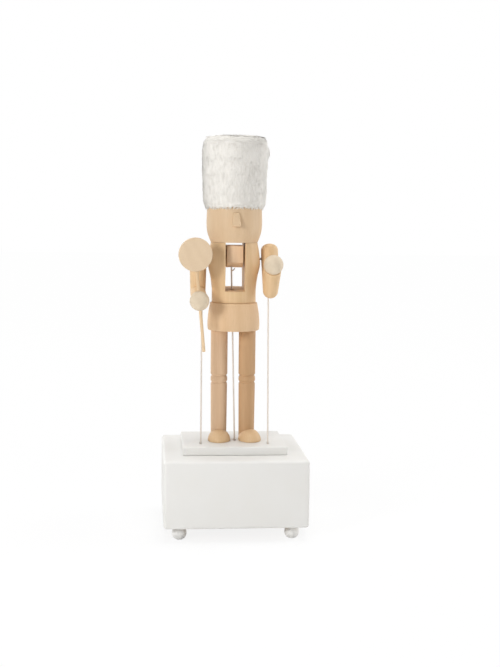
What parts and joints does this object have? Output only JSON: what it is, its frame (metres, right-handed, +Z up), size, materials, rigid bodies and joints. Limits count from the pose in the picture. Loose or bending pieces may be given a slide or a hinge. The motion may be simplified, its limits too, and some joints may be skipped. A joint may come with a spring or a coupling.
{
  "type": "nutcracker music box",
  "caption": "Turned wooden nutcracker in a tall plush hat on a white music box; push wires from the movement's cams swing its arms and move its jaw.",
  "frame": {"origin": "on the floor, at the middle of the whole footprint of case and winding key; the case and figure are centred 8 mm in front of it", "axes": "+Z up, -Y the way the figure faces, +X towards the figure's left hand"},
  "size_m": [0.11, 0.1259, 0.308],
  "materials": {
    "white_paint": "white satin paint on wood",
    "plywood": "bare plywood",
    "beech": "bare turned wood",
    "pale_wood": "bare pale wood",
    "plush": "short white pile",
    "steel": "bright steel",
    "dark_steel": "dark nail",
    "brass": "satin brass",
    "zinc": "zinc-plated sheet"
  },
  "bodies": {
    "root": {"case_shell": "white_paint", "bottom_plate": "plywood", "foot_front_left": "white_paint", "foot_front_right": "white_paint", "foot_back_left": "white_paint", "foot_back_right": "white_paint", "screw_front_left": "steel", "screw_front_right": "steel", "screw_back_left": "steel", "screw_back_right": "steel", "stage_plate": "white_paint", "right_leg": "beech", "left_leg": "beech", "right_shoe": "beech", "left_shoe": "beech", "coat_skirt": "beech", "torso": "beech", "head": "beech", "nose": "beech", "hat": "plush", "jaw_pin": "steel", "right_shoulder_nail": "dark_steel", "left_shoulder_nail": "dark_steel", "frame_plate_left": "zinc", "frame_plate_right": "zinc", "lever_shaft": "steel", "back_plate": "zinc", "comb_block": "zinc", "comb": "steel", "governor_case": "zinc"},
    "winder": {"winding_key": "brass", "winding_arbor": "steel", "winding_wheel": "brass", "spring_barrel": "brass", "mainspring": "steel"},
    "cylinder": {"music_cylinder": "brass", "cylinder_arbor": "steel", "cylinder_pinion": "steel", "cylinder_gear": "brass", "flywheel": "brass", "right_arm_cam": "brass", "left_arm_cam": "brass", "jaw_cam": "brass"},
    "right_arm": {"right_upper_arm": "beech", "right_forearm": "beech", "right_hand": "pale_wood", "stick": "pale_wood", "disc": "pale_wood"},
    "left_arm": {"left_upper_arm": "beech", "left_forearm": "beech", "left_hand": "pale_wood"},
    "jaw": {"jaw": "beech"},
    "right_lever": {"right_arm_lever": "brass"},
    "left_lever": {"left_arm_lever": "brass"},
    "jaw_lever": {"jaw_lever": "brass"},
    "right_wire": {"right_arm_wire": "steel"},
    "left_wire": {"left_arm_wire": "steel"},
    "jaw_wire": {"jaw_wire": "steel"}
  },
  "joints": [
    {"name": "key_turn", "type": "hinge", "parent": "root", "child": "winder", "pos_m": [0.016, 0.05, 0.0287], "axis": [0, 1, 0], "continuous": true},
    {"name": "cylinder_turn", "type": "hinge", "parent": "root", "child": "cylinder", "pos_m": [0, -0.015, 0.0287], "axis": [1, 0, 0], "continuous": true},
    {"name": "right_arm_swing", "type": "hinge", "parent": "root", "child": "right_arm", "pos_m": [-0.028, -0.008, 0.2111], "axis": [-1, 0, 0], "range_deg": [0, 16]},
    {"name": "right_lever_lift", "type": "hinge", "parent": "root", "child": "right_lever", "pos_m": [-0.0283, 0.008, 0.04], "axis": [-1, 0, 0], "range_deg": [0, 14]},
    {"name": "right_wire_tilt", "type": "hinge", "parent": "right_lever", "child": "right_wire", "pos_m": [-0.0258, -0.024, 0.04], "axis": [-1, 0, 0], "range_deg": [-18, 0]},
    {"name": "left_arm_swing", "type": "hinge", "parent": "root", "child": "left_arm", "pos_m": [0.028, -0.008, 0.2111], "axis": [-1, 0, 0], "range_deg": [0, 16]},
    {"name": "left_lever_lift", "type": "hinge", "parent": "root", "child": "left_lever", "pos_m": [0.0289, 0.008, 0.04], "axis": [-1, 0, 0], "range_deg": [0, 6]},
    {"name": "left_wire_tilt", "type": "hinge", "parent": "left_lever", "child": "left_wire", "pos_m": [0.0264, -0.028, 0.04], "axis": [-1, 0, 0], "range_deg": [-9, 0]},
    {"name": "jaw_swing", "type": "hinge", "parent": "root", "child": "jaw", "pos_m": [0, 0, 0.2141], "axis": [-1, 0, 0], "range_deg": [0, 6]},
    {"name": "jaw_lever_lift", "type": "hinge", "parent": "root", "child": "jaw_lever", "pos_m": [-0.0003, 0.008, 0.04], "axis": [-1, 0, 0], "range_deg": [0, 5]},
    {"name": "jaw_wire_tilt", "type": "hinge", "parent": "jaw_lever", "child": "jaw_wire", "pos_m": [0.0022, -0.011, 0.04], "axis": [-1, 0, 0], "range_deg": [-5, 0]}
  ],
  "couplings": [
    {"joint": "key_turn", "follows": "cylinder_turn", "ratio": 0.75},
    {"joint": "right_lever_lift", "follows": "right_arm_swing", "ratio": 0.7833},
    {"joint": "right_wire_tilt", "follows": "right_arm_swing", "ratio": -1.0218},
    {"joint": "left_lever_lift", "follows": "left_arm_swing", "ratio": 0.2887},
    {"joint": "left_wire_tilt", "follows": "left_arm_swing", "ratio": -0.4788},
    {"joint": "jaw_lever_lift", "follows": "jaw_swing", "ratio": 0.7035},
    {"joint": "jaw_wire_tilt", "follows": "jaw_swing", "ratio": -0.7432}
  ]
}
